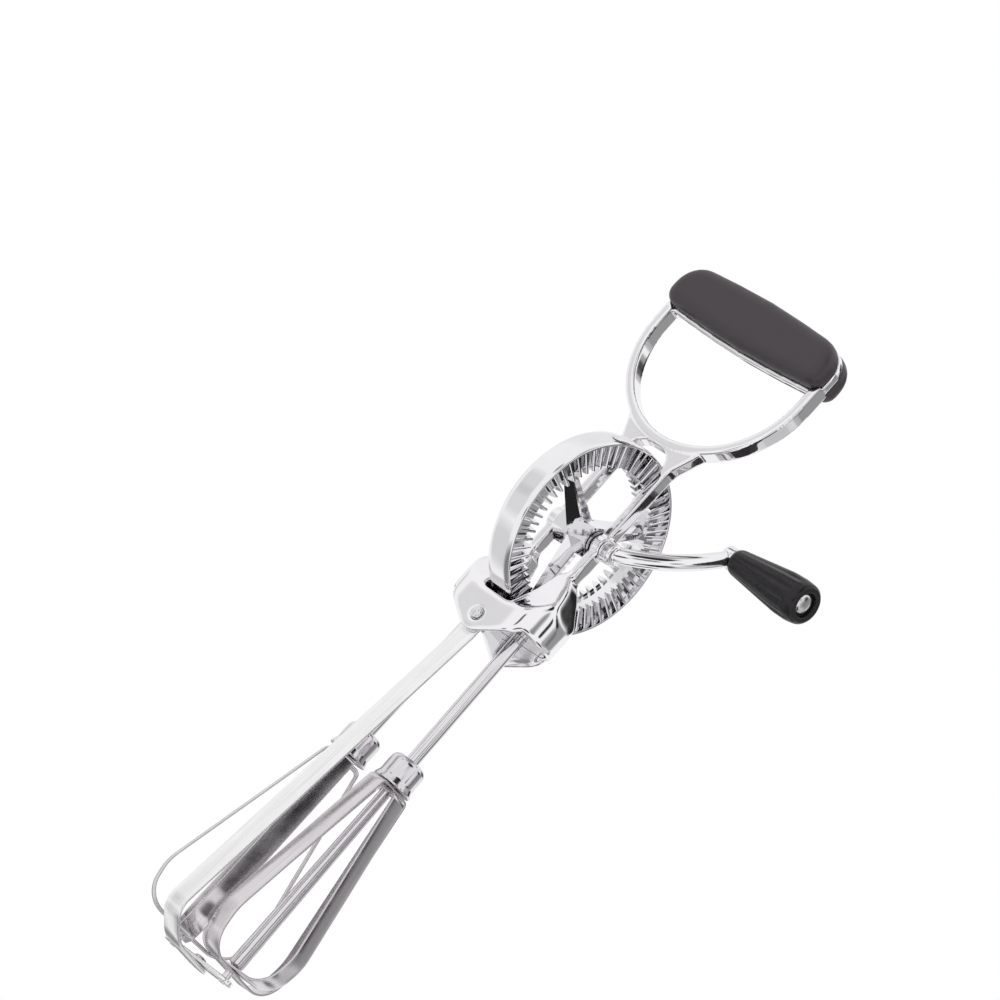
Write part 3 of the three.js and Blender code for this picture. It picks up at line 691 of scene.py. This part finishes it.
def crank_knob():
    """The knob swells from its neck to a belly near its end, which has a recess for the spindle's head."""
    low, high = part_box("crank_knob")
    start, end, belly = low.y, high.y - INSIDE, (high.x - low.x) / 2
    length = end - start
    bore, root, recess = 2.15 * MM, 4.7 * MM, 4.7 * MM
    recess_floor = end - 2.2 * MM
    profile = [
        (bore, start, 0),
        (root, start, 0.5 * MM),
        (root + 0.4 * MM, start + 1.2 * MM, 1 * MM),
        (belly - 0.15 * MM, start + 0.7 * length, 25 * MM),
        (belly, start + 0.88 * length, 12 * MM),
        (belly - 0.6 * MM, end - 1.2 * MM, 1.2 * MM),
        (belly - 1.7 * MM, end, 1 * MM),
        (recess, end, 0.5 * MM),
        (recess, recess_floor, 0.3 * MM),
        (bore, recess_floor, 0),
    ]

    def flute(height, angle):
        """Nine shallow flutes that fade in after the neck and out before the rim."""
        share = (height - start) / length
        fade_in = max(0.0, min(1.0, (share - 0.16) / 0.2))
        fade_out = max(0.0, min(1.0, (0.93 - share) / 0.1))
        return 1 - 0.07 * fade_in * fade_out * (0.5 + 0.5 * math.cos(9 * angle)) ** 2

    place = on_axle_line((low + high) / 2)
    made = object_from("moulded_knob", lambda shape: lathe(shape, profile, place, 160, flute))
    stand_for(smooth(made), "crank_knob")


def knob_spindle():
    low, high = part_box("knob_spindle")
    place = on_axle_line((low + high) / 2)
    rise = 1.4 * MM
    rivet("spindle_head", "knob_spindle", place, (low.y, high.y - rise), (1.9 * MM, 4.2 * MM), rise)


# ---- Beater pieces ----

def beater_rod(name):
    """A pivot in the foot, a bar between the loops that widens downwards, the shank and the upper spigot."""
    place = joint_frame(f"{name}_beater_spin")
    low, high = local_box(f"{name}_shaft", place)
    loop_low, loop_high = local_box(f"{name}_outer_loop", place)
    collar_low = local_box(f"{name}_collar", place)[0]
    pivot, foot, bar, shank, spigot = 1.6 * MM, 3 * MM, 2.1 * MM, 2.5 * MM, 2 * MM
    in_collar = collar_low.z + 2 * MM
    spigot_start = high.z - 5.7 * MM
    profile = [
        (0, low.z, 0),
        (pivot, low.z, 0.3 * MM),
        (pivot, loop_low.z + 2.6 * MM, 0),
        (foot, loop_low.z + 3.4 * MM, 0.6 * MM),
        (bar, loop_high.z + 0.5 * MM, 0),
        (bar, in_collar, 0),
        (shank, in_collar, 0),
        (shank, spigot_start, 0.2 * MM),
        (spigot, spigot_start, 0),
        (spigot, high.z, 0.3 * MM),
        (0, high.z, 0),
    ]
    made = object_from(f"{name}_rod", lambda shape: lathe(shape, profile, place, 48))
    stand_for(smooth(made), f"{name}_shaft")


def beater_cup(name):
    """The cap over the loops' ends, with a small skirt."""
    place = joint_frame(f"{name}_beater_spin")
    low, high = local_box(f"{name}_collar", place)
    radius, skirt, bore = 7.1 * MM, 7.9 * MM, 2.7 * MM
    profile = [
        (bore, low.z, 0),
        (skirt, low.z, 0.2 * MM),
        (skirt, low.z + 0.7 * MM, 0.4 * MM),
        (radius, low.z + 2.8 * MM, 2.5 * MM),
        (radius, high.z, 2.6 * MM),
        (bore, high.z, 0.3 * MM),
    ]
    made = object_from(f"{name}_cup", lambda shape: lathe(shape, profile, place, 72))
    stand_for(smooth(made), f"{name}_collar")


def beater_wing(name, which, turn, inset):
    """A strip bent to a loop with a rounded foot and belly. inset makes an inner loop's foot corners tighter
    and its shoulder narrower."""
    node = f"{name}_{which}_loop"
    place = joint_frame(f"{name}_beater_spin", turn)
    low, high = local_box(node, place)
    thickness = 1 * MM
    middle = thickness / 2
    belly = high.x - middle
    belly_height = local_box(f"{name}_outer_loop", place)[0].z + 16.5 * MM
    right = [
        (belly - 3 * MM, low.z + middle, 11.5 * MM - inset),
        (belly, belly_height, 19.5 * MM),
        (9 * MM - inset - middle, high.z - middle, 2.1 * MM),
    ]
    left = [(-x, height, soft) for x, height, soft in right]
    path = rounded_path([left[0], *right, left[2], left[1]], True)
    made = ribbon(f"{name}_{which}_wing", path, True, high.y - low.y, thickness, place)
    stand_for(smooth(made), node)


def beater(name, turn):
    """One beater. Its inner loop stands a quarter turn from the outer one."""
    beater_rod(name)
    beater_cup(name)
    beater_wing(name, "outer", turn, 0.0)
    beater_wing(name, "inner", turn + math.pi / 2, 1.3 * MM)


def kept_nodes():
    """Small inner pieces keep their CAD shape, with softened edges and a finish."""
    for node_name, slot in SLOTS.items():
        node = frame["nodes"][node_name]
        node.data.materials.clear()
        node.data.materials.append(MATERIALS[slot])
        if not node.hide_render:
            edge = node.modifiers.new("soft_edges", "BEVEL")
            edge.width = 0.08 * MM
            edge.segments = 2
            edge.limit_method = "ANGLE"
            edge.angle_limit = SHARP


# ---- Studio ----

# Where the camera stands and how it is turned, as seen from the tool.
VIEW = {"azimuth": 132.8, "elevation": -9.7, "roll": 41.95}
CAMERA_DISTANCE = 2.375
CAMERA_FIELD = 0.3555
CAMERA_AIM = Vector((0.0187, -0.0228, 0.196))

# Cards round the tool that only mirrors see. Each has its azimuth, elevation, half size and softness in
# degrees, then its brightness.
CARDS = [
    (48, 4, 7, 7, 0.78),
    (47, -14, 8, 8, 0.8),
    (20, -46, 12, 12, 0.75),
    (321, -32, 9, 10, 0.3),
    (137, 36, 14, 6, 0.02),
    (137, -17, 8, 5, 0.08),
    (152, 4, 6, 7, 0.3),
    (182, 10, 4, 3, 0.03),
    (96, 8, 2.5, 2, 0.12),
    (231, 18, 13, 8, 0.33),
    (232, -16, 9, 9, 0.6),
    (257, -42, 7, 4, 0.03),
    (207, -29, 12, 6, 0.02),
    (264, 32, 11, 6, 0.02),
    (313, 2, 9, 8, 0.3),
    (346, 46, 12, 14, 0.9),
    (100, 64, 12, 10, 0.4),
    (92, -25, 5, 4, 0.05),
    (0, 2, 7, 8, 0.75),
    (75, 28, 4, 4, 0.35),
    (213, 27, 8, 5, 0.06),
    (249, -3, 6, 5, 0.35),
    (212, 4, 7, 9, 0.38),
    (0, -88, 24, 14, 0.25),
]


def direction(azimuth, elevation):
    """The unit vector from the tool towards a place; azimuth 0 is -Y and 90 is +X."""
    azimuth, elevation = math.radians(azimuth), math.radians(elevation)
    level = math.cos(elevation)
    return Vector((math.sin(azimuth) * level, -math.cos(azimuth) * level, math.sin(elevation)))


def floor_paper():
    """Pale paper. It is clear from below, because the camera looks up past it, and to mirrors, which look
    through it to the cards."""
    material, tree, shader = new_material("floor_paper")
    grain = noise(tree, 40)
    tree.links.new(mix_colors(tree, grain, (0.86, 0.86, 0.86), (0.9, 0.9, 0.9)), shader.inputs["Base Color"])
    shader.inputs["Roughness"].default_value = 0.9
    side = add_node(tree, "ShaderNodeNewGeometry")
    path = add_node(tree, "ShaderNodeLightPath")
    hidden = add_node(tree, "ShaderNodeMath", operation="MAXIMUM")
    tree.links.new(side.outputs["Backfacing"], hidden.inputs[0])
    tree.links.new(path.outputs["Is Glossy Ray"], hidden.inputs[1])
    clear = add_node(tree, "ShaderNodeBsdfTransparent")
    chosen = add_node(tree, "ShaderNodeMixShader", {"Fac": hidden.outputs[0]})
    tree.links.new(shader.outputs[0], chosen.inputs[1])
    tree.links.new(clear.outputs[0], chosen.inputs[2])
    tree.links.new(chosen.outputs[0], tree.nodes["Material Output"].inputs["Surface"])
    return material


def floor():
    """A square of paper just under the foot."""
    half = 8
    corners = [(-half, -half, 0), (half, -half, 0), (half, half, 0), (-half, half, 0)]
    mesh = bpy.data.meshes.new("floor")
    mesh.from_pydata(corners, [], [(0, 1, 2, 3)])
    mesh.materials.append(floor_paper())
    sheet = new_object("floor", mesh)
    sheet.location.z = -0.5 * MM


def card_shade(tree, place, card):
    """1 away from a card and its brightness on it, with a soft edge."""
    azimuth, elevation, size, soft, bright = card
    towards = add_node(tree, "ShaderNodeVectorMath", operation="DOT_PRODUCT")
    tree.links.new(place, towards.inputs[0])
    towards.inputs[1].default_value = direction(azimuth, elevation)
    outside, inside = math.cos(math.radians(size + soft)), math.cos(math.radians(size))
    return spread(tree, towards.outputs["Value"], 1, bright, outside, inside)


def studio():
    """White surroundings. Only mirrors see the dark cards that stand round the tool."""
    world = bpy.data.worlds.new("studio")
    world.use_nodes = True
    bpy.context.scene.world = world
    tree = world.node_tree
    background = tree.nodes["Background"]
    background.inputs["Strength"].default_value = 1.0
    place = add_node(tree, "ShaderNodeTexCoord").outputs["Generated"]
    value = card_shade(tree, place, CARDS[0])
    for card in CARDS[1:]:
        product = add_node(tree, "ShaderNodeMath", operation="MULTIPLY")
        tree.links.new(value, product.inputs[0])
        tree.links.new(card_shade(tree, place, card), product.inputs[1])
        value = product.outputs[0]
    path = add_node(tree, "ShaderNodeLightPath")
    seen = add_node(tree, "ShaderNodeMix", data_type="FLOAT")
    seen.inputs[2].default_value = 1.0
    tree.links.new(path.outputs["Is Glossy Ray"], seen.inputs[0])
    tree.links.new(value, seen.inputs[3])
    tree.links.new(seen.outputs[0], background.inputs["Color"])


def area_light(name, azimuth, elevation, size, power):
    """A soft lamp 1.2 m from the tool's middle, which mirrors don't see."""
    data = bpy.data.lights.new(name, "AREA")
    data.shape = "RECTANGLE"
    data.size, data.size_y = size
    data.energy = power
    lamp = new_object(name, data)
    lamp.visible_glossy = False
    towards = direction(azimuth, elevation)
    lamp.location = Vector((0, 0, 0.16)) + towards * 1.2
    lamp.rotation_mode = "QUATERNION"
    lamp.rotation_quaternion = (-towards).to_track_quat("-Z", "Y")


def camera():
    """A long lens a little below level, rolled so that the tool lies across the view."""
    back = direction(VIEW["azimuth"], VIEW["elevation"])
    data = bpy.data.cameras.new("camera")
    data.lens = data.sensor_width * CAMERA_DISTANCE / CAMERA_FIELD
    data.clip_end = 50
    viewer = new_object("camera", data)
    viewer.location = CAMERA_AIM + back * CAMERA_DISTANCE
    viewer.rotation_mode = "QUATERNION"
    level = (-back).to_track_quat("-Z", "Y")
    viewer.rotation_quaternion = Quaternion(back, math.radians(VIEW["roll"])) @ level
    bpy.context.scene.camera = viewer


frame_casting()
grip_shells()
side_strut()
foot_crossbar()
rivets()
drive_wheel()
wheel_axle()
crank_arm()
crank_knob()
knob_spindle()
beater("front", 0.0)
beater("rear", math.pi / 4)
kept_nodes()
floor()
studio()
area_light("key", 100, 50, (0.5, 0.5), 6)
area_light("fill", 190, 20, (0.4, 0.8), 2)
camera()
bpy.context.scene.view_settings.view_transform = "Standard"
